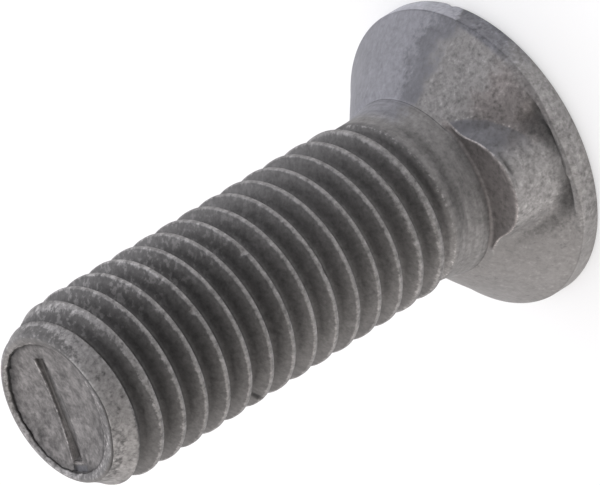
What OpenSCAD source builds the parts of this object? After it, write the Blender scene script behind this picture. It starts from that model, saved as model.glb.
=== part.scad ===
// Plow bolt: a forged countersunk bolt with one nib under its head.
// It stands on its flat head. The origin is the centre of that face and
// the shank runs up +Z. The nib points along +Y.

/* [Shank] */
// Length of the bolt, from the flat head face to the end of the shank
bolt_length = 29.7; // [20:0.1:80]
// Diameter of the threaded stretch, over the thread's crests
thread_d = 9.9; // [9.4:0.05:10.4]
// Diameter of the bare neck where the thread starts
neck_d = 9.3; // [8.6:0.02:9.38]
// Diameter of the neck where it leaves the head
neck_root_d = 9.82; // [9.4:0.02:10.2]
// Length of the neck, from the cone to the start of the thread
neck_l = 2.4; // [1.5:0.05:12]
// Slope of the run-out between neck and thread, from the axis
runout_angle = 30; // [15:1:60]

/* [Head] */
// Diameter of the head over its rim
head_d = 16.6; // [15.4:0.1:22]
// Height of the straight rim
rim_h = 1.05; // [0.5:0.05:1.6]
// Included angle of the countersink
cone_angle = 90; // [80:1:110]
// Radius of the fillet between the cone and the neck
neck_fillet_r = 0.35; // [0.1:0.05:0.8]
// Radius of the edge round the flat head face
face_edge_r = 0.15; // [0.05:0.05:0.4]

/* [Nib] */
// Drop of the nib's flat ledge below the corner of cone and neck
ledge_drop = 0.16; // [0.1:0.02:1]
// Distance from the nib's nose in to the rim's radius, at the ledge
nib_inset = 1.03; // [0.9:0.01:1.8]
// Radius of the nib's round nose, at the ledge
nib_nose_r = 2.5; // [1.5:0.05:3]
// Draft of the nib's nose, from the axis
nib_draft = 12.5; // [2:0.5:16]
// Spread of the nib's flanks towards the neck, from the nib's middle line
nib_spread = 22; // [0:1:30]

/* [Pockets] */
// Turn of the big pocket from the nib, towards -X
big_pocket_turn = 15; // [12:1:24]
// Length of the big pocket, from its deep end beside the rim
big_pocket_l = 1.5; // [0.8:0.1:2.4]
// Radius across the big pocket's hollow
big_hollow_r = 3.6; // [1.5:0.1:5]
// Turn of the small pocket from the nib, towards +X
small_pocket_turn = 13; // [10:1:24]
// Length of the small pocket
small_pocket_l = 0.9; // [0.5:0.1:2]
// Radius across the small pocket's hollow
small_hollow_r = 1.2; // [0.8:0.1:4]
// Depth of both pockets at their deep ends
pocket_depth = 0.34; // [0.1:0.02:0.5]
// Plain strip of the cone between the rim and the pockets
pocket_gap = 0.4; // [0.1:0.05:0.8]

/* [Shank end] */
// Diameter of the shank's end, over the top of its lip
lip_d = 7.74; // [7.6:0.02:8.4]
// Radius of the lip's rounding
lip_r = 0.28; // [0.1:0.02:0.5]
// Slope of the collar between lip and thread, from the axis
collar_angle = 32; // [20:1:60]
// Diameter of the sunk disc inside the lip
disc_d = 7.18; // [6:0.02:7.4]
// Depth of the sunk disc, at its edge
disc_depth = 0.22; // [0.1:0.02:0.5]
// How much deeper the disc is dished at its middle
dish_depth = 0.26; // [0.1:0.02:0.5]

/* [Mark] */
// Length of the straight groove across the disc
mark_l = 5.5; // [3:0.1:6.4]
// Width of the groove
mark_w = 0.64; // [0.3:0.02:1.2]
// Depth of the groove below the middle of the dish
mark_depth = 0.2; // [0.1:0.02:0.6]
// Turn of the groove from the X axis
mark_turn = 1; // [-90:1:90]
// How far the groove's middle lies off the axis, along X
mark_x = 0.1; // [-0.5:0.05:0.5]
// How far the groove's middle lies off the axis, along Y
mark_y = -0.15; // [-0.5:0.05:0.5]

/* [Hidden] */
$fn = 96;
// How far a cutter runs past the face that it cuts
clear = 1;
// Thickness of a strip that only bounds a hull
skin = 0.01;

head_r = head_d / 2;
thread_r = thread_d / 2;
neck_r = neck_d / 2;
neck_root_r = neck_root_d / 2;

// Slope of the cone's side, from the axis
cone_slope = cone_angle / 2;
// Height at which the cone's side reaches a radius
function cone_z(r) = rim_h + (head_r - r) / tan(cone_slope);

// Centre of the fillet, which touches the cone's side and the neck
fillet_x = neck_root_r + neck_fillet_r;
fillet_z = cone_z(fillet_x) + neck_fillet_r / sin(cone_slope);
// Point where the fillet leaves the cone's side
fillet_foot = [
    fillet_x - neck_fillet_r * cos(cone_slope),
    fillet_z - neck_fillet_r * sin(cone_slope)
];

// Ends of the neck: the corner with the cone, and the start of the run-out
neck_root_z = cone_z(neck_root_r);
neck_end_z = neck_root_z + neck_l;
runout_h = (thread_r - neck_r) / tan(runout_angle);

// Height of the nib's ledge, centre of the nib's nose, and the radius that
// the nose would reach at the head face with its draft
ledge_h = neck_root_z - ledge_drop;
nose_y = head_r - nib_inset - nib_nose_r;
foot_r = nib_nose_r + ledge_h * tan(nib_draft);

// Heights of the disc's edge and of the dish's lowest point, and the radius
// of the dish, which meets the disc's edge
disc_r = disc_d / 2;
disc_z = bolt_length - disc_depth;
dish_z = disc_z - dish_depth;
dish_r = (pow(disc_r, 2) + pow(dish_depth, 2)) / (2 * dish_depth);

// Centre of the lip's rounding, and the point where the collar leaves it
lip_x = lip_d / 2;
lip_z = bolt_length - lip_r;
collar_top = [lip_x + lip_r * cos(collar_angle), lip_z + lip_r * sin(collar_angle)];
collar_z = collar_top[1] - (thread_r - collar_top[0]) / tan(collar_angle);

// The head's section: flat face, rounded edge, straight rim and cone
module head_section() {
    edge_x = head_r - face_edge_r;
    translate([edge_x, face_edge_r])
        circle(face_edge_r);
    polygon([
        [0, 0],
        [edge_x, 0],
        [edge_x, face_edge_r],
        [head_r, face_edge_r],
        [head_r, rim_h],
        fillet_foot,
        [0, fillet_foot[1]]
    ]);
}

// The ring of metal in the corner of cone and neck, hollowed by the fillet
module fillet_section() {
    difference() {
        polygon([
            [0, fillet_foot[1]],
            fillet_foot,
            [fillet_x, fillet_z],
            [0, fillet_z]
        ]);
        translate([fillet_x, fillet_z])
            circle(neck_fillet_r);
    }
}

// The shank's section: tapered neck, run-out, thread and collar
module shank_section() {
    polygon([
        [0, fillet_z],
        [neck_root_r, fillet_z],
        [neck_r, neck_end_z],
        [thread_r, neck_end_z + runout_h],
        [thread_r, collar_z],
        collar_top,
        [lip_x, lip_z],
        [lip_x, bolt_length],
        [0, bolt_length]
    ]);
    translate([lip_x, lip_z])
        circle(lip_r);
}

// The bolt before its nib: one turned section, sunk where steel was drawn
// from the cone into the nib
module blank() {
    difference() {
        rotate_extrude() {
            head_section();
            fillet_section();
            shank_section();
        }
        pocket(big_pocket_turn, big_pocket_l, big_hollow_r);
        pocket(-small_pocket_turn, small_pocket_l, small_hollow_r);
    }
}

// A round cutter that lies along the cone's side and leans out of it. Its
// square end is sunk beside the rim, and it comes out at the pocket's length.
module pocket(turn, length, hollow_r) {
    lean = atan(pocket_depth / length);
    rotate([0, 0, 90 + turn])
        translate([
            head_r - pocket_gap * sin(cone_slope) - pocket_depth * cos(cone_slope),
            0,
            rim_h + pocket_gap * cos(cone_slope) - pocket_depth * sin(cone_slope)
        ])
            rotate([0, lean - cone_slope, 0])
                translate([hollow_r, 0, 0])
                    cylinder(h = 2 * length, r = hollow_r);
}

// The nib: a round nose and two flanks that spread to the neck, all with the
// same draft, cut flat at the ledge and kept inside the head's rim
module nib() {
    intersection() {
        cylinder(h = ledge_h, r = head_r);
        hull() {
            translate([0, nose_y, 0])
                cylinder(h = ledge_h, r1 = foot_r, r2 = nib_nose_r, $fn = 48);
            nib_root(nib_nose_r, ledge_h - skin);
            nib_root(foot_r, 0);
        }
    }
}

// A thin strip across the bolt's axis. The flanks run from its ends to touch
// a nose of that radius at the nib's spread.
module nib_root(nose_r, height) {
    half_w = (nose_y * sin(nib_spread) + nose_r) / cos(nib_spread);
    translate([-half_w, 0, height])
        cube([2 * half_w, skin, skin]);
}

// The sunk and dished disc in the shank's end, with its straight groove
module end_marks() {
    rotate_extrude()
        intersection() {
            translate([0, dish_z + dish_r])
                circle(dish_r, $fn = 360);
            square([disc_r, bolt_length + clear]);
        }
    translate([mark_x, mark_y, dish_z - mark_depth])
        rotate([0, 0, mark_turn])
            translate([-mark_l / 2, -mark_w / 2, 0])
                cube([mark_l, mark_w, bolt_length + clear - dish_z + mark_depth]);
}

module bolt() {
    color("dimgray")
        difference() {
            union() {
                blank();
                nib();
            }
            end_marks();
        }
}

bolt();
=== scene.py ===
import math

import bmesh
import bpy
import numpy as np
from mathutils import Matrix, Vector


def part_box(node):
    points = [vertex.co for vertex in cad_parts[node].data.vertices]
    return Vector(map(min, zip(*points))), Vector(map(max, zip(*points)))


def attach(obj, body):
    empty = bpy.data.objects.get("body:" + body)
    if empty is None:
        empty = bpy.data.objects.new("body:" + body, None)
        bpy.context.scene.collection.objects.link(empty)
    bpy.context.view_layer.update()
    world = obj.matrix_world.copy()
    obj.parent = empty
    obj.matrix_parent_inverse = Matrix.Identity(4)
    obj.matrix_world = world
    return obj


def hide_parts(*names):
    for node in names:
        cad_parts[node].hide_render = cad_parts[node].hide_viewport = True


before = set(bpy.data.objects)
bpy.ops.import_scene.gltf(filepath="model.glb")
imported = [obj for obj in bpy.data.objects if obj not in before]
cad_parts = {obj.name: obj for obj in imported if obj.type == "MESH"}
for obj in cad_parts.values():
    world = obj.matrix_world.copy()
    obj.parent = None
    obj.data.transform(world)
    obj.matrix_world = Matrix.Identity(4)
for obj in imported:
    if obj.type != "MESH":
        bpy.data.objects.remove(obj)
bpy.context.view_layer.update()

# ---------------------------------------------------------------------------
# Camera. A long lens looks down on the standing bolt from the nib's side, and
# is rolled over, so that the shank's end points to the lower left.
MM = 0.001
LENS_MM = 445.8
CAMERA_DISTANCE = 371.6 * MM
CAMERA_TURN = math.radians(109.0)       # round the bolt, from +X
CAMERA_RISE = math.radians(33.63)       # above the table
CAMERA_ROLL = math.radians(-121.53)
AIM = Vector((-0.748, -0.021, 12.569)) * MM

camera_data = bpy.data.cameras.new("camera")
camera_data.lens = LENS_MM
camera_data.sensor_width = 36
camera_data.clip_start = 0.01
camera = bpy.data.objects.new("camera", camera_data)
bpy.context.scene.collection.objects.link(camera)
camera.matrix_world = (
    Matrix.Translation(AIM)
    @ Matrix.Rotation(CAMERA_TURN + math.pi / 2, 4, "Z")
    @ Matrix.Rotation(math.pi / 2 - CAMERA_RISE, 4, "X")
    @ Matrix.Rotation(CAMERA_ROLL, 4, "Z")
    @ Matrix.Translation((0, 0, CAMERA_DISTANCE))
)
bpy.context.scene.camera = camera


# ---------------------------------------------------------------------------
# The bolt's turned form. Every ring of the bolt has the same columns round it,
# closer together about the nib, so that the pieces below weld into one skin.
head_low, head_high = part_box("bolt")
BOLT_LENGTH = head_high.z
HEAD_RADIUS = min(head_high.x, head_high.y, -head_low.x, -head_low.y)
COLUMNS_NIB = 176                # round the nib's side
COLUMNS_BACK = 104               # round the rest
NIB_SIDE = math.radians(84)      # half of the nib's side
nib_columns = np.linspace(-NIB_SIDE, NIB_SIDE, COLUMNS_NIB, endpoint=False)
back_columns = np.linspace(NIB_SIDE, 2 * math.pi - NIB_SIDE, COLUMNS_BACK, endpoint=False)
from_nib = np.concatenate([nib_columns, back_columns])
azimuth = from_nib + math.pi / 2
from_nib = (from_nib + math.pi) % (2 * math.pi) - math.pi


def smooth_step(x):
    x = np.clip(x, 0, 1)
    return x * x * (3 - 2 * x)


def smooth_max(a, b, width):
    """The larger of a and b, with a fillet where they differ by less than width."""
    share = np.clip(0.5 + 0.5 * (b - a) / width, 0, 1)
    return a * (1 - share) + b * share + width * share * (1 - share)


# What each point of the skin carries for its steel: how dark it is, from dirt
# and from painted shade in its hollows and creases, how far it is rubbed, and
# how smooth the die left it
MARKS = ("grime_and_shade", "worn", "smooth")


def rings_mesh(name, rings, close_first=False, close_last=False):
    """A mesh of rings with the same columns. Each ring has x, y, z and the three marks."""
    rings = np.array(rings)
    points = rings[:, :3].transpose(0, 2, 1).reshape(-1, 3)
    index = np.arange(len(points)).reshape(len(rings), -1)
    right = np.roll(index, -1, axis=1)
    quads = np.stack([index[:-1], right[:-1], right[1:], index[1:]], axis=2).reshape(-1, 4)
    faces = quads.tolist()
    if close_first:
        faces.append(index[0][::-1].tolist())
    if close_last:
        faces.append(index[-1].tolist())
    mesh = bpy.data.meshes.new(name)
    mesh.from_pydata(points.tolist(), [], faces)
    for row, mark in enumerate(MARKS, start=3):
        mesh.attributes.new(mark, "FLOAT", "POINT").data.foreach_set("value", rings[:, row].ravel())
    made = bpy.data.objects.new(name, mesh)
    bpy.context.scene.collection.objects.link(made)
    return made


# ---------------------------------------------------------------------------
# Head and neck. The head is forged: a flat face, a short straight rim, a
# 90 degree cone, and on it one nib with a flat ledge. The steel that filled the
# nib came from beside it, so the cone is sunk at the nib's foot, inside the rim.
RIM_HEIGHT = 1.05 * MM
FACE_EDGE = 0.12 * MM        # rounding of the flat face's edge
NECK_ROOT_RADIUS = 4.91 * MM
CORNER_HEIGHT = 4.42 * MM    # where the cone meets the neck, give or take the waver
CORNER_WAVER = 0.08 * MM
NECK_RADIUS = 4.65 * MM      # where the neck's taper ends
NECK_TAPER_END = 6.2 * MM
NECK_END = 5.5 * MM          # where the thread's strip starts
OFF_CENTRE = 0.06 * MM       # the neck stands a little off the axis
OFF_TO = math.radians(19)
LEDGE_HEIGHT = 4.28 * MM
LEDGE_FILLET = 0.17 * MM
LEDGE_ROUND = 0.09 * MM      # rounding of the ledge's outer edge
NIB_REACH = 7.17 * MM
NOSE_RADIUS = 2.73 * MM
NIB_DRAFT = math.radians(15)
NIB_SPREAD = math.radians(19.7)
NIB_TURN = math.radians(0.5)         # from +Y, towards -X, at its foot
NIB_TWIST = math.radians(-3.3)       # how far it leans round the bolt, from its foot to its ledge
NIB_FOOT = 1.45 * MM
CREASE_DEPTH = 0.07 * MM     # step inside the rim, about the nib
BIG_POCKET_DEPTH = 0.42 * MM
SMALL_POCKET_DEPTH = 0.2 * MM


def bump(angle, middle, reach):
    """1 at the middle, in degrees from the nib, + on the -X side, and 0 beyond its reach."""
    return smooth_step(1 - np.abs(np.degrees(angle) - middle) / reach)


# Height of the step inside the rim, by degrees from the nib
crease_z = np.interp(
    np.degrees(from_nib),
    (-45, -30, -19, -8, -5, 4, 17, 30, 45),
    (1.12, 1.28, 1.36, 1.37, 1.46, 1.41, 1.33, 1.33, 1.17),
) * MM


def cone_radius(z):
    """The plain cone, which swells a little and leans with the neck."""
    swell = 0.10 * MM * smooth_step((z - 1.5 * MM) / (1.8 * MM))
    sideways = OFF_CENTRE * 0.6 * smooth_step((z - RIM_HEIGHT) / (2.5 * MM)) * np.cos(azimuth - OFF_TO)
    return HEAD_RADIUS - (z - RIM_HEIGHT) + swell + sideways


def nib_radius(z):
    """How far the nib reaches from the axis at each column, at a height."""
    nose_y = NIB_REACH - NOSE_RADIUS
    nose = NOSE_RADIUS + (LEDGE_HEIGHT - z) * math.tan(NIB_DRAFT)
    lean = NIB_TWIST * (z - NIB_FOOT) / (LEDGE_HEIGHT - NIB_FOOT)
    side = np.abs(from_nib - NIB_TURN - lean)
    touch_x = nose * math.cos(NIB_SPREAD)
    touch_y = nose_y + nose * math.sin(NIB_SPREAD)
    on_nose = side < np.arctan2(touch_x, touch_y)
    within = np.clip(nose**2 - (nose_y * np.sin(side)) ** 2, 0, None)
    round_part = nose_y * np.cos(side) + np.sqrt(within)
    flank_angle = np.clip(side + NIB_SPREAD, 0, math.pi * 0.6)
    flank = (nose_y * math.sin(NIB_SPREAD) + nose) / np.sin(flank_angle)
    reach = np.where(on_nose, round_part, flank)
    return np.where(side < math.pi * 0.42, reach, 0)


near_nib = 0.12 + 0.88 * bump(from_nib, 4, 50)      # where the step inside the rim is deep


def pocket(above, middle, lean, reach, height):
    """1 in a leaning triangle that stands on the crease, in degrees and mm, and 0 outside it."""
    up = np.clip(above / height, 0, 1)
    off = np.abs(np.degrees(from_nib) - middle - lean * up)
    return smooth_step((reach * (1 - up) - off) / 8 + 0.5) * np.sqrt(1 - up)


def pockets(z):
    """The pockets beside the nib, from which steel was drawn: the big one and the small one."""
    above = (z - crease_z) / MM
    big = pocket(above, middle=13, lean=4.5, reach=10, height=1.35)
    small = pocket(above, middle=-12.5, lean=-5, reach=6.5, height=0.9)
    return big, small


def sink(z):
    """How far the cone is sunk at the rim's crease and in the pockets beside the nib."""
    above = (z - crease_z) / MM
    crease = CREASE_DEPTH * near_nib * np.exp(-((above / 0.35) ** 2))
    big, small = pockets(z)
    return crease + BIG_POCKET_DEPTH * big + SMALL_POCKET_DEPTH * small


def side_radius(z):
    """The cone and the nib together, at each column, at a height.

    The fillet between them widens upwards, and is widest on the nib's +X side.
    """
    soft = 0.18 + 0.26 * smooth_step(0.5 - np.degrees(from_nib) / 20)
    valley = (0.08 + soft * smooth_step((z - 2.0 * MM) / (1.5 * MM))) * MM
    return smooth_max(cone_radius(z) - sink(z), nib_radius(z), valley)


rings = []


def ring(radius, z, grime_and_shade=0.0, worn=0.0, smooth=0.0):
    """Adds one ring to rings. Each value is one number, or one for each column."""
    radius, *rest = (np.broadcast_to(v, azimuth.shape) for v in (radius, z, grime_and_shade, worn, smooth))
    rings.append([radius * np.cos(azimuth), radius * np.sin(azimuth), *rest])


# The flat face, its edge with one nick in it, and the rim
NICK_DEPTH = 0.16 * MM
nick = NICK_DEPTH * bump(from_nib, 75.5, 2.6)
for share in (0.2, 0.5, 0.8):
    ring(share * HEAD_RADIUS, 0)
for bend in np.linspace(0, math.pi / 2, 4):
    edge_r = HEAD_RADIUS - (FACE_EDGE + nick) * (1 - math.sin(bend))
    ring(edge_r, (FACE_EDGE + nick * 1.5) * (1 - math.cos(bend)))
for z in (0.38 * MM, 0.6 * MM, 0.85 * MM, RIM_HEIGHT - 0.08 * MM):
    ring(HEAD_RADIUS, z)
degrees = np.degrees(from_nib)
# The rim's top corner is painted darker, most away from the nib: painted shade over the light that the
# corner catches
corner_shade = 0.3 * smooth_step((np.abs(degrees) - 28) / 20) + 0.4 * bump(from_nib, 84, 18)
ring(HEAD_RADIUS - 0.025 * MM, RIM_HEIGHT, grime_and_shade=corner_shade)
cone_start = RIM_HEIGHT + 0.05 * MM
for share in (0.25, 0.6, 1.0):
    z = cone_start + (crease_z - 0.02 * MM - cone_start) * share
    ring(HEAD_RADIUS - (z - RIM_HEIGHT), z)

# The nib's share of each column: 1 where its ledge is, 0 where the cone runs to
# the neck. The columns' feet lie in the step inside the rim
nib_share = smooth_step((nib_radius(LEDGE_HEIGHT) - 4.66 * MM) / (0.3 * MM))
foot_z = np.minimum(crease_z - 0.5 * (sink(crease_z) - 0.02 * MM), crease_z)
top_z = LEDGE_HEIGHT - LEDGE_ROUND + 0 * azimuth

# Up the cone and the nib's side, with a dent in the nose under the ledge. The
# step, the pockets, the dent and the valley beside the nib are darkened with
# painted shade in these hollows, and a rubbed line bounds the part that the die left smooth
DENT_HEIGHT = 4.02 * MM
DENT_DEPTH = 0.09 * MM
dent = bump(from_nib, 7, 8.5)
for share in np.concatenate([[0, 0.015, 0.035], np.linspace(0.06, 1, 48)]):
    z = foot_z + (top_z - foot_z) * share
    radius = side_radius(z) - DENT_DEPTH * dent * np.exp(-(((z - DENT_HEIGHT) / (0.09 * MM)) ** 2))
    above = (z - foot_z) / MM
    big, small = pockets(z)
    in_step = near_nib**2 * np.exp(-((above / 0.05) ** 2))
    grime_and_shade = np.clip(in_step * 0.35 + 0.95 * big + 0.45 * small, 0, 0.72)
    grime_and_shade += 0.9 * dent * np.exp(-(((z - DENT_HEIGHT) / (0.1 * MM)) ** 2))
    stands = (nib_radius(z) - cone_radius(z)) / MM
    valley = np.exp(-(((stands + 0.42) / 0.42) ** 2)) * bump(from_nib, -26, 32)
    grime_and_shade += 0.55 * valley * smooth_step((3.9 * MM - z) / (1.2 * MM))
    flank_end = np.interp(z / MM, (2.2, 2.75, 3.15, 3.65, 4.1, 4.45), (12, 23, 30, 36, 41, 45))
    flank = 0.8 * smooth_step((degrees - 7) / 13) * smooth_step((z - 2.25 * MM) / (0.2 * MM))
    edge = flank * np.exp(-(((degrees - flank_end) / 1.3) ** 2))
    flank *= smooth_step((flank_end - degrees) / 2.5)
    rubbed = 0.5 * nib_share * smooth_step((share - 0.97) / 0.03) + 0.62 * edge
    ring(radius, z, grime_and_shade, rubbed, flank)

# The ledge, with its rounded edge, and the fillet at the neck. Each point is
# mixed from the ledge's profile and the plain cone's by the nib's share
EDGE_WORN = (0.54, 0.44, 0)      # on the three rows of the ledge's edge
side_r = side_radius(top_z)
corner_z = CORNER_HEIGHT + CORNER_WAVER * np.cos(2 * (azimuth - math.radians(150)))
neck_root = NECK_ROOT_RADIUS + OFF_CENTRE * np.cos(azimuth - OFF_TO)
ledge_profile = []
for share in (0.35, 0.7, 1.0):
    bend = share * math.pi / 2
    edge_r = side_r - LEDGE_ROUND * (1 - math.cos(bend))
    ledge_profile.append((edge_r, top_z + LEDGE_ROUND * math.sin(bend)))
ledge_start = ledge_profile[-1][0]
ledge_stop = np.minimum(neck_root + LEDGE_FILLET, ledge_start)
for share in (0.1, 0.3, 0.5, 0.7, 0.9, 1.0):
    ledge_profile.append((ledge_start + (ledge_stop - ledge_start) * share, LEDGE_HEIGHT + 0 * azimuth))
for share in (0.25, 0.5, 0.75, 1.0):
    bend = share * math.pi / 2
    ledge_profile.append((ledge_stop + (neck_root - ledge_stop) * math.sin(bend),
                          LEDGE_HEIGHT + LEDGE_FILLET * (1 - math.cos(bend))))
edge_light = 1 + 0.9 * bump(from_nib, -32, 14) + 0.8 * bump(from_nib, 24, 16)
for step, (ledge_r, ledge_z) in enumerate(ledge_profile):
    share = (step + 1) / len(ledge_profile)
    cone_r = side_r + (neck_root - side_r) * share
    cone_z = top_z + (corner_z - top_z) * share
    on_edge = step < len(EDGE_WORN)
    # The ledge is darkened with painted shade from the shank, and the line where the plain cone meets the
    # neck with painted shade in that corner
    ledge_shade = 0 if on_edge else 0.42 * (0.4 if share > 0.8 else 1)
    ring(
        cone_r * (1 - nib_share) + ledge_r * nib_share,
        cone_z * (1 - nib_share) + ledge_z * nib_share,
        grime_and_shade=(1 - nib_share) * (share == 1) * 0.8 + nib_share * ledge_shade,
        worn=nib_share * EDGE_WORN[step] * edge_light if on_edge else 0,
        smooth=0 if on_edge else nib_share * 0.3,
    )
neck_foot_z = rings[-1][2]
for share in np.concatenate([[0.04], np.linspace(0.15, 1, 8)]):
    z = neck_foot_z + (NECK_END - neck_foot_z) * share
    taper = 1 - smooth_step((z - CORNER_HEIGHT) / (NECK_TAPER_END - CORNER_HEIGHT))
    ring(NECK_RADIUS + (neck_root - NECK_RADIUS) * taper, z)
head = rings_mesh("head", rings, close_first=True)


# ---------------------------------------------------------------------------
# Thread. It is rolled into the blank between flat dies, M10 x 1.5, right-hand,
# so it is the same steel. Its first groove comes out of the neck, and its last
# one stops under the end's collar.
PITCH = 1.5015 * MM
CREST_AT = 25.481 * MM       # height of one crest over the +X axis
CREST_RADIUS = 4.95 * MM
GROOVE_DEPTH = 0.92 * MM
CREST_HALF = 0.10 * MM       # half of the crest's flat
FIRST_CREST = -12            # the crest beside the neck, counted from the one at CREST_AT
LAST_CREST = 1               # the crest under the collar
THREAD_END = 29.2 * MM
BEVEL_START = 27.45 * MM     # the blank is bevelled from here to its end
BEVEL_SLOPE = math.tan(math.radians(27))
COLLAR_TOP = 29.56 * MM
COLLAR_RADIUS = 4.075 * MM   # at the collar's top
COLLAR_SLOPE = 0.438         # how it widens below its top, and how that grows, per metre
COLLAR_CURVE = 143

# A flat strip, whose rows run up the turns and whose columns run once round the
# bolt. It is wrapped along the helix below, and its rows sink into the blank
ROW_PLACES = (0, 0.055, 0.10, 0.20, 0.32, 0.41, 0.5, 0.59, 0.68, 0.80, 0.90, 0.945)
first_row = math.floor((NECK_END - CREST_AT) / PITCH) - 2
last_row = math.ceil((THREAD_END - CREST_AT) / PITCH) + 1
rows = np.array([turn + place for turn in range(first_row, last_row) for place in ROW_PLACES])
turns = np.append(azimuth, azimuth[0] + 2 * math.pi) / (2 * math.pi)
grid_x, grid_y = np.meshgrid(turns, rows)
strip_points = np.stack([grid_x, grid_y, np.zeros_like(grid_x)], axis=2).reshape(-1, 3)
index = np.arange(grid_x.size).reshape(grid_x.shape)
strip_faces = np.stack([index[:-1, :-1], index[:-1, 1:], index[1:, 1:], index[1:, :-1]], axis=2)
strip_mesh = bpy.data.meshes.new("thread")
strip_mesh.from_pydata(strip_points.tolist(), [], strip_faces.reshape(-1, 4).tolist())
thread = bpy.data.objects.new("thread", strip_mesh)
bpy.context.scene.collection.objects.link(thread)


class Nodes:
    """Adds nodes to one node tree."""

    def __init__(self, tree):
        self.tree = tree

    def add(self, kind, settings=None, inputs=None, out=0):
        """Adds a node, makes its settings, then sets or links its sockets, and gives one output."""
        node = self.tree.nodes.new(kind)
        for name, value in (settings or {}).items():
            setattr(node, name, value)
        for name, value in (inputs or {}).items():
            if isinstance(value, Link):
                self.tree.links.new(value.socket, node.inputs[name])
            else:
                node.inputs[name].default_value = value
        return Link(self, node.outputs[out]) if len(node.outputs) else None


class Link:
    """One output in a node tree, which takes part in sums like a number."""

    def __init__(self, nodes, socket):
        self.nodes = nodes
        self.socket = socket

    def maths(self, operation, *others):
        """A Math node on this output and the others."""
        return self.nodes.add("ShaderNodeMath", {"operation": operation}, dict(enumerate((self, *others))))

    def __add__(self, other):
        return self.maths("ADD", other)

    def __sub__(self, other):
        return self.maths("SUBTRACT", other)

    def __rsub__(self, other):
        return self.nodes.add("ShaderNodeMath", {"operation": "SUBTRACT"}, {0: other, 1: self})

    def __mul__(self, other):
        return self.maths("MULTIPLY", other)

    def __truediv__(self, other):
        return self.maths("DIVIDE", other)

    __radd__ = __add__
    __rmul__ = __mul__

    def ramp(self, start, end, low=0.0, high=1.0):
        """Goes smoothly from low at start to high at end."""
        return self.nodes.add(
            "ShaderNodeMapRange",
            {"interpolation_type": "SMOOTHSTEP"},
            {"Value": self, "From Min": start, "From Max": end, "To Min": low, "To Max": high},
        )

    def mix(self, first, second):
        """A blend of two colours by this share. The Mix node's colours are its sockets 6 and 7."""
        return self.nodes.add(
            "ShaderNodeMix", {"data_type": "RGBA"}, {"Factor": self, 6: first, 7: second}, out=2)


roll = bpy.data.node_groups.new("roll_thread", "GeometryNodeTree")
roll.interface.new_socket("Geometry", in_out="INPUT", socket_type="NodeSocketGeometry")
roll_sizes = {
    "Pitch": PITCH,
    "Crest height": CREST_AT,
    "Crest radius": CREST_RADIUS,
    "Crest half width": CREST_HALF,
    "Groove depth": GROOVE_DEPTH,
    "Neck radius": NECK_RADIUS,
    "Neck root radius": NECK_ROOT_RADIUS,
    "Neck foot": CORNER_HEIGHT,
    "Neck taper end": NECK_TAPER_END,
    "Neck off centre": OFF_CENTRE,
    "Start": NECK_END,
    "End": THREAD_END,
    "First crest": FIRST_CREST,
    "Last crest": LAST_CREST,
    "Bevel start": BEVEL_START,
    "Bevel slope": BEVEL_SLOPE,
    "Collar radius": COLLAR_RADIUS,
    "Collar top": COLLAR_TOP,
}
for name in roll_sizes:
    roll.interface.new_socket(name, in_out="INPUT", socket_type="NodeSocketFloat")
roll.interface.new_socket("Steel", in_out="INPUT", socket_type="NodeSocketMaterial")
roll.interface.new_socket("Geometry", in_out="OUTPUT", socket_type="NodeSocketGeometry")

g = Nodes(roll)
group_in = roll.nodes.new("NodeGroupInput")
size = {socket.name: Link(g, socket) for socket in group_in.outputs if socket.name}
place = g.add("GeometryNodeInputPosition")
turn, row = (g.add("ShaderNodeSeparateXYZ", None, {"Vector": place}, out=axis) for axis in "XY")
free_z = size["Crest height"] + size["Pitch"] * (row + turn)
z = g.add("ShaderNodeClamp", None, {"Value": free_z, "Min": size["Start"], "Max": size["End"]})

# Crests and grooves are counted along the helix, with the part of a turn added
count = (z - size["Crest height"]) / size["Pitch"] - turn
crest = (count + 0.5).maths("FLOOR")
groove = count.maths("FLOOR")
off_crest = (count - crest).maths("ABSOLUTE") * size["Pitch"]
crest_along = crest + turn
groove_along = groove + turn + 0.5
full = (groove_along - size["First crest"]).ramp(-0.95, -0.55)
full = full * (groove_along - size["Last crest"]).ramp(1.0, 1.4, 1.0, 0.0)
sunk = (off_crest - size["Crest half width"]) * math.tan(math.radians(60))
sunk = sunk.maths("SMOOTH_MAX", 0.0, 0.05 * MM)
sunk = sunk.maths("SMOOTH_MIN", size["Groove depth"], 0.25 * MM)
threaded = size["Crest radius"] - sunk * full

# The blank: the neck, the full shank, then the bevel, and the collar at the end
started = (crest_along - size["First crest"]).ramp(-0.45, 0.0)
grown = (crest_along - size["First crest"]).ramp(0.0, 2.2, -0.06 * MM, 0.0)
angle = turn * (2 * math.pi)
off_angle = angle - OFF_TO
taper = z.ramp(size["Neck foot"], size["Neck taper end"], 1.0, 0.0)
sideways = size["Neck off centre"] * off_angle.maths("COSINE")
wider = size["Neck root radius"] - size["Neck radius"] + sideways
neck = size["Neck radius"] + wider * taper
shank = neck + (size["Crest radius"] + grown - neck) * started
bevel = size["Crest radius"] - (z - size["Bevel start"]) * size["Bevel slope"]
drop = size["Collar top"] - z
collar = size["Collar radius"] + drop * COLLAR_SLOPE + drop * drop * COLLAR_CURVE
collared = (crest_along - size["Last crest"]).ramp(0.6, 1.0)
end_form = bevel + (collar - bevel) * collared
blank = shank.maths("SMOOTH_MIN", end_form, 0.06 * MM)
radius = threaded.maths("SMOOTH_MIN", blank, 0.04 * MM)


# Three crests are chipped, and one flank is gouged
CHIP_DEPTH = 0.13 * MM
GOUGE_DEPTH = 0.1 * MM


def damage(degrees, height, wide, high):
    """1 at a damaged place and 0 beyond its reach, in degrees from +X and mm."""
    across = (angle - math.radians(degrees)) * (CREST_RADIUS / (wide * MM))
    along = (z - height * MM) / (high * MM)
    return (across * across + along * along).ramp(0.0, 1.0, 1.0, 0.0)


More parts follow.
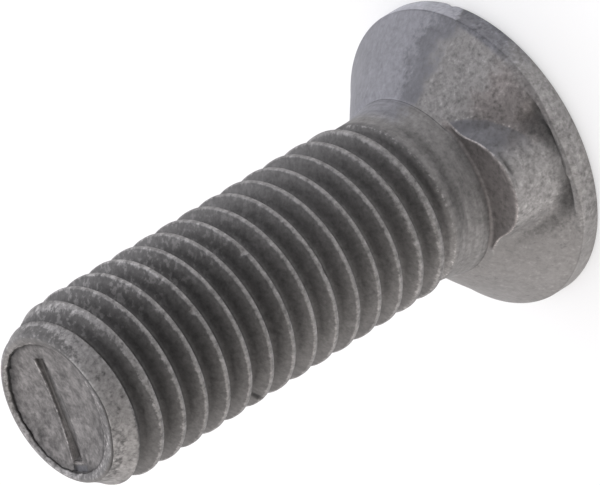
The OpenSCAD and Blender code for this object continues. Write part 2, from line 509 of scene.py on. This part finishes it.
chipped = (
    damage(115.6, height=23.07, wide=0.24, high=0.18)
    + damage(130.2, height=18.56, wide=0.26, high=0.18)
    + damage(94.5, height=15.32, wide=0.48, high=0.18)
)
gouged = damage(27.0, height=19.8, wide=0.36, high=0.24)
radius = radius - chipped * CHIP_DEPTH - gouged * GOUGE_DEPTH
wrapped = g.add("ShaderNodeCombineXYZ", None, {
    "X": radius * angle.maths("COSINE"),
    "Y": radius * angle.maths("SINE"),
    "Z": z,
})

# Crests are rubbed, less on the first turn beside the neck and on the bevel's
# -X side, and so are the chips. The grooves' bottoms are darkened with painted
# shade, more towards the end, and so is the gouge
stands = threaded - blank
on_crest = stands.ramp(-0.15 * MM, -0.02 * MM)
past_neck = (stands.ramp(0.06 * MM, 0.16 * MM, 0.6, 0.0) + z.ramp(7.2 * MM, 7.8 * MM)).ramp(0.0, 1.0)
dull_bevel = angle.ramp(2.3, 2.7) * angle.ramp(4.1, 3.6) * z.ramp(27.7 * MM, 28.2 * MM)
deep = (sunk * full).ramp(0.25 * MM, 0.85 * MM)
marks = {
    "worn": on_crest * past_neck * (1 - dull_bevel * 0.18) + chipped * 0.6,
    "grime_and_shade": deep * z.ramp(6.0 * MM, 28.0 * MM, 0.05, 0.5) + gouged * 1.3,
}
marked = size["Geometry"]
for mark, amount in marks.items():
    marked = g.add("GeometryNodeStoreNamedAttribute", {"data_type": "FLOAT", "domain": "POINT"},
                   {"Geometry": marked, "Name": mark, "Value": amount})
moved = g.add("GeometryNodeSetPosition", None, {"Geometry": marked, "Position": wrapped})
welded = g.add("GeometryNodeMergeByDistance", None, {"Geometry": moved, "Distance": 0.002 * MM})
real = g.add("GeometryNodeRealizeInstances", None, {"Geometry": welded})
finished = g.add("GeometryNodeSetMaterial", None, {"Geometry": real, "Material": size["Steel"]})
group_out = roll.nodes.new("NodeGroupOutput")
roll.links.new(finished.socket, group_out.inputs["Geometry"])

steel = bpy.data.materials.new("worn_steel")
rolled = thread.modifiers.new("roll_thread", "NODES")
rolled.node_group = roll
for item in roll.interface.items_tree:
    if item.in_out == "INPUT" and item.name in roll_sizes:
        rolled[item.identifier] = float(roll_sizes[item.name])
    if item.in_out == "INPUT" and item.name == "Steel":
        rolled[item.identifier] = steel
seen = thread.evaluated_get(bpy.context.evaluated_depsgraph_get())
thread_mesh = bpy.data.meshes.new_from_object(seen)
thread.modifiers.remove(rolled)
thread.data = thread_mesh


# ---------------------------------------------------------------------------
# Shank end. Rolling squeezes the blank's end up into a collar and folds a lip in
# over a dished face. The fold shows as a lapped line on the nib's side and as a
# ragged crease on the other. A straight groove is struck across the face.
LIP_RADIUS = 3.87 * MM       # at the lip's crest
LIP_ROUNDING = 0.24 * MM
LIP_START = math.radians(24)
LAP_DEPTH = 0.055 * MM
DISH_RADIUS = 3.45 * MM
DISH_EDGE = 29.47 * MM       # height of the face at that radius
DISH_DEPTH = 0.31 * MM
MARK_LENGTH = 5.59 * MM      # of the struck groove
MARK_WIDTH = 0.64 * MM
MARK_FLOOR = 28.99 * MM
MARK_TURN = math.radians(0.4)
MARK_X = 0.22 * MM
MARK_Y = -0.35 * MM

degrees_round = np.degrees(azimuth) % 360


def by_azimuth(stops):
    """A value at each column, from {degrees from +X: value}."""
    return np.interp(degrees_round, list(stops), list(stops.values()), period=360)


def humped(middle, reach):
    """1 at middle, in degrees from +X, and 0 beyond its reach."""
    off = np.abs((degrees_round - middle + 180) % 360 - 180)
    return smooth_step(1 - off / reach)


# The lapped line's radius, and where there is one
lap_radius = MM * by_azimuth({
    30: 4.03, 42: 4.02, 56: 3.98, 68: 3.94, 91: 3.98, 100: 3.95, 109: 3.89, 120: 3.84,
    142: 3.81, 165: 3.80, 200: 3.85, 340: 3.98})
lap = smooth_step((degrees_round - 24) / 18) * smooth_step((166 - degrees_round) / 22)

# The crease between the lip and the face: its middle, width and depth, the height
# of the lip's edge at it, and how sharply the lip is folded over it
crease_radius = MM * by_azimuth({
    0: 3.58, 12: 3.50, 25: 3.43, 42: 3.24, 59: 3.02, 76: 2.94, 95: 2.98, 115: 3.10, 135: 3.33, 150: 3.40,
    180: 3.42, 198: 3.48, 210: 3.57, 222: 3.65, 232: 3.60, 235: 3.66, 240: 3.62, 270: 3.62, 283: 3.62,
    290: 3.56, 297: 3.58, 303: 3.66, 315: 3.70, 337: 3.70, 349: 3.62})
crease_width = MM * by_azimuth({
    0: 0.07, 20: 0.08, 150: 0.07, 198: 0.06, 215: 0.08, 229: 0.10, 233: 0.25, 237: 0.13, 250: 0.17,
    268: 0.18, 280: 0.15, 288: 0.10, 296: 0.13, 306: 0.09, 324: 0.08, 342: 0.09, 348: 0.17, 353: 0.09})
crease_depth = MM * by_azimuth({
    0: 0.04, 30: 0.02, 60: 0.01, 120: 0.01, 150: 0.03, 190: 0.05, 215: 0.10, 235: 0.18, 275: 0.16,
    310: 0.12, 343: 0.09, 348: 0.14, 353: 0.08})
lip_edge_z = MM * by_azimuth({
    0: 29.55, 25: 29.51, 42: 29.46, 59: 29.41, 76: 29.40, 95: 29.41, 115: 29.43, 135: 29.49, 150: 29.52,
    180: 29.55, 215: 29.56, 270: 29.55, 320: 29.56})
folded = by_azimuth({
    0: 0.7, 20: 0.6, 60: 0.5, 80: 0.35, 110: 0.2, 150: 0.35, 180: 0.5, 205: 0.8, 235: 1.0, 280: 1.0,
    345: 0.9})
RAGGED_DEPTH = 0.018 * MM
ragged = np.sin(azimuth * 23) + np.sin(azimuth * 41 + 1) + np.sin(azimuth * 67 + 2)
lip_edge = crease_radius + crease_width / 2 + RAGGED_DEPTH * ragged * folded**2

# How far the lip is rubbed, and less inside its crest
worn_end = by_azimuth({
    0: 0.75, 20: 0.68, 40: 0.62, 60: 0.74, 80: 0.97, 120: 0.95, 130: 0.9, 142: 0.56, 155: 0.5, 165: 0.46,
    190: 0.42, 205: 0.4, 220: 0.5, 240: 0.75, 265: 0.85, 290: 0.97, 330: 0.92})
worn_inside = worn_end * by_azimuth({
    0: 0.65, 20: 0.8, 60: 0.9, 80: 0.6, 120: 0.5, 135: 0.25, 155: 0.3, 175: 0.9, 200: 1, 345: 0.9})


def lip_z(r):
    """Height of the lip: rounded outside its crest, and falling to the crease inside it."""
    outward = np.clip((r - LIP_RADIUS) / LIP_ROUNDING, 0, 1)
    inward = np.clip((LIP_RADIUS - r) / (LIP_RADIUS - lip_edge), 0, 1)
    rounded = BOLT_LENGTH - LIP_ROUNDING * (1 - np.sqrt(1 - outward**2))
    return rounded - (BOLT_LENGTH - lip_edge_z) * inward**1.3


# From the thread's last row up the collar and over the lip to its lapped line
rings = []
thread_points = np.array([vertex.co for vertex in thread.data.vertices])
top_row = thread_points[thread_points[:, 2] > THREAD_END - 1e-8]
ring(float(np.hypot(top_row[:, 0], top_row[:, 1]).mean()), THREAD_END, worn=worn_end)
for share in (0.4, 0.75):
    drop = (COLLAR_TOP - THREAD_END) * (1 - share)
    collar_r = COLLAR_RADIUS + drop * COLLAR_SLOPE + drop * drop * COLLAR_CURVE
    ring(collar_r, COLLAR_TOP - drop, worn=worn_end)
lap_width = by_azimuth({0: 1, 95: 1, 120: 1.7, 155: 1.8, 180: 1})
lap_outside = lap_radius + 0.04 * MM * lap_width
lap_start = np.arccos(np.clip((lap_outside - LIP_RADIUS) / LIP_ROUNDING, 0, 1))
for share in (0, 0.25, 0.5, 0.75, 1):
    bend = LIP_START + (lap_start - LIP_START) * share
    radius = LIP_RADIUS + LIP_ROUNDING * np.cos(bend)
    ring(radius, lip_z(radius), worn=worn_end)
# The lapped line is darkened with painted shade in its fold
for off, deep, dark in ((0.03, 0, 0.2), (0.008, 0.9, 1.0), (-0.02, 1, 1.1), (-0.07, 0.15, 0.35)):
    radius = lap_radius + off * MM * lap_width
    beside = worn_end * 0.8 * (off > 0.01) + worn_inside * 0.5 * (off < -0.05)
    ring(radius, lip_z(radius) - LAP_DEPTH * deep * lap, grime_and_shade=dark * lap * 0.85, worn=beside)

# Down inside the lip, with a hollow on the nib's side, to the crease. The hollow
# and the crease are darkened with painted shade, the crease most where the lip is
# folded over it, and the lip just inside the lapped line is darker too
lap_end = lap_radius - 0.07 * MM * lap_width
dark_patch = humped(91, 14) + 0.5 * humped(120, 12)
inside_lap = by_azimuth({60: 0, 80: 0.25, 100: 0.2, 120: 0.38, 140: 0.5, 160: 0.28, 180: 0, 359: 0})
for share in (0.15, 0.3, 0.45, 0.6, 0.8, 0.92, 1.0):
    radius = lap_end + (lip_edge - lap_end) * share
    hollow = dark_patch * math.exp(-(((share - 0.42) / 0.16) ** 2))
    dark = 0.45 * hollow + 0.25 * (share == 1) * folded
    dark = dark + inside_lap * (1 - smooth_step((share - 0.15) / 0.5))
    ring(radius, lip_z(radius) - 0.03 * MM * hollow, grime_and_shade=dark, worn=worn_inside)
for share, deep, dark in ((0.12, 0.55, 1.1), (0.35, 1.0, 1.25), (0.7, 0.8, 1.15)):
    ring(lip_edge - crease_width * share, lip_edge_z - crease_depth * deep, grime_and_shade=dark * folded, worn=0.15)


def by_mark(x, y):
    """Places in mm: along and across the struck groove, and how far outside its -Y edge."""
    along = (x - MARK_X) * math.cos(MARK_TURN) + (y - MARK_Y) * math.sin(MARK_TURN)
    across = (y - MARK_Y) * math.cos(MARK_TURN) - (x - MARK_X) * math.sin(MARK_TURN)
    return along / MM, across / MM, -(across + MARK_WIDTH / 2) / MM


def face_z(x, y):
    """Height of the struck face: a dish, with the groove's burr and its run-out."""
    along, across, off = by_mark(x, y)
    burr = np.exp(-(((off - 0.08) / 0.06) ** 2)) * smooth_step((along + 2.9) / 0.3)
    burr -= 0.8 * np.exp(-(((off - 0.22) / 0.05) ** 2)) * smooth_step((along - 0.6) / 1.4)
    run_out = smooth_step((along - 2.75) / 0.25) * smooth_step((0.62 - np.abs(across - 0.1)) / 0.25)
    dish = DISH_EDGE - DISH_DEPTH * (1 - np.hypot(x, y) ** 2 / DISH_RADIUS**2)
    return dish + burr * 0.06 * MM - run_out * 0.07 * MM


def face_marks(x, y):
    """How dark, worn and smooth the face is: a dark line on the groove's -Y side, and painted shade along
    its +Y edge.
    """
    along, across, off = by_mark(x, y)
    line_off = np.interp(along, (1.3, 2.0, 2.8, 3.3), (0.40, 0.36, 0.14, 0.03))
    line = np.exp(-(((off - line_off) / 0.08) ** 2))
    far_edge = np.exp(-(((across - MARK_WIDTH / 2 / MM - 0.03) / 0.05) ** 2))
    line_dark = smooth_step((along - 1.0) / 0.5) * (0.45 + 0.6 * smooth_step((along - 2.5) / 0.6))
    line_dark = line_dark + 0.35 * smooth_step((-along - 1.6) / 0.5)
    grime_and_shade = 0.6 * far_edge * smooth_step((along + 1.4) / 0.8) * (np.abs(along) < 2.7) + line * line_dark
    burr = np.exp(-(((off - 0.08) / 0.06) ** 2))
    worn = burr * (0.85 + 0.25 * smooth_step((-along - 2.0) / 0.3)) * (np.abs(along) < 2.9)
    ridge = np.exp(-(((along - 2.92) / 0.09) ** 2)) * smooth_step((0.42 - np.abs(across)) / 0.12)
    run_out = smooth_step((along - 2.95) / 0.15) * smooth_step((0.62 - np.abs(across - 0.1)) / 0.2)
    return grime_and_shade, np.maximum(worn, ridge), run_out


def mark_outline(inset):
    """The groove's outline, one point for each column, walked round from its +X end."""
    length = MARK_LENGTH - 2 * inset
    width = MARK_WIDTH - 2 * inset
    walk = ((azimuth - MARK_TURN) / (2 * math.pi)) % 1 * 2 * (length + width)
    stops = np.cumsum([0, width / 2, length, width, length, width / 2])
    x = np.interp(walk, stops, np.array([1, 1, -1, -1, 1, 1]) * length / 2)
    y = np.interp(walk, stops, np.array([0, 1, 1, -1, -1, 0]) * width / 2)
    cos_t, sin_t = math.cos(MARK_TURN), math.sin(MARK_TURN)
    return x * cos_t - y * sin_t + MARK_X, x * sin_t + y * cos_t + MARK_Y


# Across the face, from the crease in to the groove, then down the groove's wall
FACE_SHARES = (
    0, 0.03, 0.07, 0.13, 0.25, 0.38, 0.5, 0.6, 0.69, 0.77, 0.83, 0.88, 0.905, 0.93, 0.95, 0.967, 0.982,
    0.993)
face_edge = lip_edge - crease_width
edge_x, edge_y = face_edge * np.cos(azimuth), face_edge * np.sin(azimuth)
mark_edge_x, mark_edge_y = mark_outline(0)
# The face's -X, -Y side, where painted shade along the crease reaches furthest in
shade_side = smooth_step((np.cos(azimuth - math.radians(218)) - 0.3) / 0.5)
for share in FACE_SHARES:
    x = edge_x + (mark_edge_x - edge_x) * share
    y = edge_y + (mark_edge_y - edge_y) * share
    dark, light, smooth = face_marks(x, y)
    # Painted shade darkens the face along the crease, wider on that side
    dark = dark + math.exp(-share / 0.012) * 0.5 * folded
    dark = dark + smooth_step(1 - share / 0.28) * (0.15 + 0.75 * shade_side)
    rings.append([x, y, face_z(x, y), dark, light, smooth])
for inset, down in ((0, 0.02), (0.012, 0.07), (0.035, 0.9), (0.045, 1), (0.07, 1)):
    x, y = mark_outline(inset * MM)
    z = face_z(x, y) - down * MM
    if down > 0.5:
        z = np.full(azimuth.shape, MARK_FLOOR + (1 - down) * 0.1 * MM)
    rings.append([x, y, z] + [np.zeros(azimuth.shape)] * len(MARKS))
end = rings_mesh("end", rings, close_last=True)

# ---------------------------------------------------------------------------
# The whole bolt. It is one forging, so its head, thread and end are welded into
# one closed skin, which has to have no open edges.
whole = bmesh.new()
for mark in MARKS:
    whole.verts.layers.float.new(mark)
for part in (head, thread, end):
    whole.from_mesh(part.data)
bmesh.ops.remove_doubles(whole, verts=whole.verts, dist=0.004 * MM)
bmesh.ops.dissolve_degenerate(whole, dist=0.0005 * MM, edges=whole.edges)
bmesh.ops.recalc_face_normals(whole, faces=whole.faces)
bolt_mesh = bpy.data.meshes.new("plow_bolt")
whole.to_mesh(bolt_mesh)
open_edges = sum(1 for edge in whole.edges if len(edge.link_faces) != 2)
whole.free()
print("open edges", open_edges, "faces", len(bolt_mesh.polygons))
for part in (head, thread, end):
    bpy.data.objects.remove(part)
bolt = bpy.data.objects.new("plow_bolt", bolt_mesh)
bpy.context.scene.collection.objects.link(bolt)
bolt_mesh.materials.append(steel)
bolt_mesh.shade_smooth()

# ---------------------------------------------------------------------------
# Steel with a dull dark coat. It is rubbed lighter where it stands out, and is
# pitted on the forged head and the nib. It is darker where dirt lies, and where
# shade is painted into its hollows and creases.
steel.use_nodes = True
steel.node_tree.nodes.clear()
s = Nodes(steel.node_tree)
point = s.add("ShaderNodeTexCoord", out="Object")
point = s.add("ShaderNodeVectorMath", {"operation": "SCALE"}, {0: point, "Scale": 1 / MM})
x, y, z = (s.add("ShaderNodeSeparateXYZ", None, {"Vector": point}, out=axis) for axis in "XYZ")
rho = (x * x + y * y).maths("SQRT")
across = x.maths("ARCTAN2", y) * (-180 / math.pi)     # degrees from the nib, + on the -X side
grime_and_shade, worn, smooth = (s.add("ShaderNodeAttribute", {"attribute_name": mark}, out="Fac") for mark in MARKS)


def noise(scale, detail=2.0, rough=0.55, at=point):
    """Noise about zero; scale is in features per mm."""
    return s.add("ShaderNodeTexNoise", None, {
        "Vector": at, "Scale": scale, "Detail": detail, "Roughness": rough}) - 0.5


def span(value, start, end, soft):
    """1 where value lies from start to end, with soft edges."""
    return value.ramp(start - soft, start + soft) * value.ramp(end + soft, end - soft)


fine = noise(5.5, 3.0, 0.65)
speck = noise(3.2, 2.0, 0.6)
blotch = noise(1.6, 3.0, 0.55)
cloud = noise(0.6, 2.0, 0.5)
flattened = s.add("ShaderNodeVectorMath", {"operation": "MULTIPLY"}, {0: point, 1: (0.3, 0.3, 5.0)})
turned = noise(1.0, 3.0, 0.6, flattened)         # fine rings round the neck

# Where things are: the head, its rim, the neck and the shank's end
on_head = z.ramp(4.55, 4.35)
on_rim = (z - span(across, -18.0, 20.0, 12.0) * 0.16).ramp(1.08, 1.02)
on_cone = on_head * (1 - on_rim)
on_neck = z.ramp(4.35, 4.55) * z.ramp(7.0, 6.6)
on_face = z.ramp(29.1, 29.15) * rho.ramp(3.62, 3.52)
nib_nose = span(across, -20.0, 12.0, 5.0) * span(z, 1.9, 4.24, 0.3)
ledge = span(across, -44.0, 44.0, 3.0) * span(z, 4.24, 4.45, 0.03) * rho.ramp(4.88, 4.93)
in_groove = span(y, -0.66, -0.04, 0.012) * span(x, -2.56, 3.0, 0.012) * z.ramp(28.9, 28.95)
beyond_groove = span(x, 2.25, 3.15, 0.12) * span(y, 0.46, 0.52, 0.03) * on_face
near_lip = z.ramp(29.45, 29.6) * across.ramp(60.0, 30.0)
far_lip = z.ramp(29.1, 29.3) * rho.ramp(3.6, 3.7) * y.ramp(0.0, -2.0)
front = across.maths("ABSOLUTE").ramp(174.0, 140.0)     # fades out at the very back
calm = across.ramp(-22.0, -40.0) * front * on_head       # the head's +X side, which is even and dark

# The die left the head's -X side smooth and bluish, behind a blotchy edge, and a
# brown stain lies in front of it
edge = across + cloud * 26.0 + blotch * 12.0 + fine * 9.0
smooth_side = edge.ramp(62.0, 71.0) * z.ramp(6.4, 5.4) * front
smooth = smooth * (1 + (fine * 2.0 + blotch * 3.0) * (1 - smooth))
smooth = smooth.maths("MAXIMUM", smooth_side)
blue_rim = edge.ramp(34.0, 52.0) * edge.ramp(71.0, 65.0) * z.ramp(1.35, 1.15)
brown = span(edge, 12.0, 40.0, 5.0) * span(z, 1.3, 3.4, 0.4) * (1 - smooth)

# The steel's grey. The coat is darkest on the thread, and wears thin elsewhere
bare = on_head * (1 - smooth * 0.85)
# The struck groove's walls are painted lighter than its floor: painted light
tone = 0.112 + bare * 0.095 + on_face * 0.012 + in_groove * z.ramp(29.0, 29.04, 0.02, 0.13)
tone = tone + on_neck * (0.085 + span(across, -50.0, -2.0, 8.0) * 0.022)
tone = tone + smooth_side * edge.ramp(74.0, 84.0, 0.01, 0.07) * (1 - on_neck * 0.5)
tone = tone + beyond_groove * 0.04
tone = tone + on_rim * (0.06 + edge.ramp(66.0, 72.0) * front * 0.16) + far_lip * 0.065 + near_lip * 0.02
tone = tone + on_rim * (span(across, -60.0, 40.0, 8.0) * 0.04 + span(across, 4.0, 30.0, 8.0) * 0.035)
tone = tone - blue_rim * 0.06 - brown * 0.015
tone = tone * (1 + span(across, 33.0, 56.0, 6.0) * on_cone * 0.14 + nib_nose * 0.48)
tone = tone * (1 + span(across, 30.0, 46.0, 5.0) * span(z, 1.3, 2.6, 0.3) * 0.15)
tone = tone * (1 - calm * (1 - on_rim) * z.ramp(2.0, 4.0, 0.05, 0.12))
tone = tone * (1 - span(across, -18.0, 60.0, 14.0) * span(z, 5.7, 6.3, 0.25) * 0.33)
tone = tone * (1 + span(across, -55.0, 50.0, 15.0) * span(z, 6.9, 18.0, 0.2) * 0.18)
mottled = span(across, 45.0, 110.0, 15.0) * z.ramp(12.0, 26.0) * z.ramp(28.6, 28.3)
tone = tone * (1 + (blotch * 2.0 + speck * 2.0).ramp(0.08, 0.4) * mottled * 0.6)

# Rubbed crests and edges are speckled light. The bare steel is pitted dark, and
# the dark mark, for dirt and painted shade, darkens everything
torn = z.ramp(7.6, 8.0, 1.0, 0.45) + z.ramp(21.0, 28.4, 0.0, 0.4)
rub = (worn + (fine * 1.5 + speck * 1.0) * torn).ramp(0.45, 0.95)
tone = tone + rub * 0.11
pitting = (blotch + fine * 0.5).ramp(0.10, 0.24) * bare
bright = (speck + fine * 0.6).ramp(0.12, 0.30) * bare
rough = (0.55 + bare * 0.3 + rub * 0.3) * (1 - calm * 0.5 - smooth_side * 0.3)
tone = tone * (1 + (fine * 1.5 + speck * 1.2 + blotch * 0.6) * rough + cloud * 0.2)
tone = tone * (1 + (blotch * 1.4 + cloud * 0.9 + fine * 0.7) * on_face * (1 - smooth))
tone = tone * (1 - smooth * on_face * 0.26)
tone = tone * (1 + turned * on_neck * 0.7) * (1 - pitting * 0.35 + bright * 0.18)
tone = tone * (1 - grime_and_shade * 0.68)

# Smooth steel is a little bluer, and the stain, the ledge and the face are warmer
blue = smooth.maths("MAXIMUM", blue_rim)
warm = brown.maths("MAXIMUM", ledge * 0.9 + on_face * 0.35 * (1 - smooth))
tint = blue.mix((1.03, 1.0, 0.98, 1), (0.985, 0.985, 1.06, 1))
tint = warm.mix(tint, (1.08, 1.0, 0.97, 1))
colour = s.add("ShaderNodeVectorMath", {"operation": "SCALE"}, {0: tint, "Scale": tone})
height = fine * 0.5 + speck * 0.6 - pitting * 0.8 + turned * on_neck * 0.5
bumped = s.add("ShaderNodeBump", None, {"Height": height, "Distance": 0.03 * MM, "Strength": 0.6})
shader = s.add("ShaderNodeBsdfPrincipled", None, {
    "Base Color": colour, "Metallic": 0.45, "Roughness": 0.52 + fine * 0.2, "Normal": bumped,
    "Specular IOR Level": 0.25, "Specular Tint": (0.5, 0.5, 0.5, 1)})
s.add("ShaderNodeOutputMaterial", None, {"Surface": shader})

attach(bolt, "root")
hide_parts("bolt")

# ---------------------------------------------------------------------------
# Studio. The bolt stands on a pale table top, which fills the view, in soft white
# light from all round.
TABLE_HALF = 1500 * MM
TABLE_HEIGHT = -0.01 * MM        # just clear of the bolt's face
corners = [(side_x * TABLE_HALF, side_y * TABLE_HALF, TABLE_HEIGHT)
           for side_x, side_y in ((-1, -1), (1, -1), (1, 1), (-1, 1))]
floor_mesh = bpy.data.meshes.new("floor")
floor_mesh.from_pydata(corners, [], [(0, 1, 2, 3)])
floor = bpy.data.objects.new("floor", floor_mesh)
bpy.context.scene.collection.objects.link(floor)

# Seen directly or in the steel, half of the table's white is a glow, so that it
# is evenly white but keeps the bolt's shadow. The bolt is lit by the plain white
pale = bpy.data.materials.new("pale_table")
pale.use_nodes = True
pale.node_tree.nodes.clear()
f = Nodes(pale.node_tree)
seen_ray = f.add("ShaderNodeLightPath", out="Is Camera Ray")
seen_ray = seen_ray + f.add("ShaderNodeLightPath", out="Is Glossy Ray")
seen_ray = seen_ray + f.add("ShaderNodeLightPath", out="Is Transmission Ray")
top = f.add("ShaderNodeBsdfDiffuse", None, {"Color": 0.86 - seen_ray * 0.43})
glow = f.add("ShaderNodeEmission", None, {"Color": (1, 1, 1, 1), "Strength": seen_ray * 0.48})
both = f.add("ShaderNodeAddShader", None, {0: top, 1: glow})
f.add("ShaderNodeOutputMaterial", None, {"Surface": both})
floor_mesh.materials.append(pale)

# The light is dimmer on the camera's side, and a little cooler on the head's
# upper side than on the lower one. Beyond the table the camera sees plain white
TOWARDS_CAMERA = (-0.271, 0.787, 0.554)
COOL_SIDE = (-0.877, -0.439, 0.194)
world = bpy.data.worlds.new("studio")
world.use_nodes = True
world.node_tree.nodes.clear()
w = Nodes(world.node_tree)
look = w.add("ShaderNodeTexCoord", out="Generated")
facing, cool = (
    w.add("ShaderNodeVectorMath", {"operation": "DOT_PRODUCT"}, {0: look, 1: way}, out="Value")
    for way in (TOWARDS_CAMERA, COOL_SIDE))
tint = cool.ramp(-0.7, 0.7).mix((1.0, 0.96, 0.94, 1), (0.95, 0.95, 1.0, 1))
sky = w.add("ShaderNodeBackground", None, {"Color": tint, "Strength": facing.ramp(0.1, 0.9, 2.2, 0.5)})
plain = w.add("ShaderNodeBackground", None, {"Color": (1, 1, 1, 1), "Strength": 1.0})
camera_ray = w.add("ShaderNodeLightPath", out="Is Camera Ray")
backdrop = w.add("ShaderNodeMixShader", None, {0: camera_ray, 1: sky, 2: plain})
w.add("ShaderNodeOutputWorld", None, {"Surface": backdrop})
bpy.context.scene.world = world

bpy.context.scene.view_settings.view_transform = "Standard"
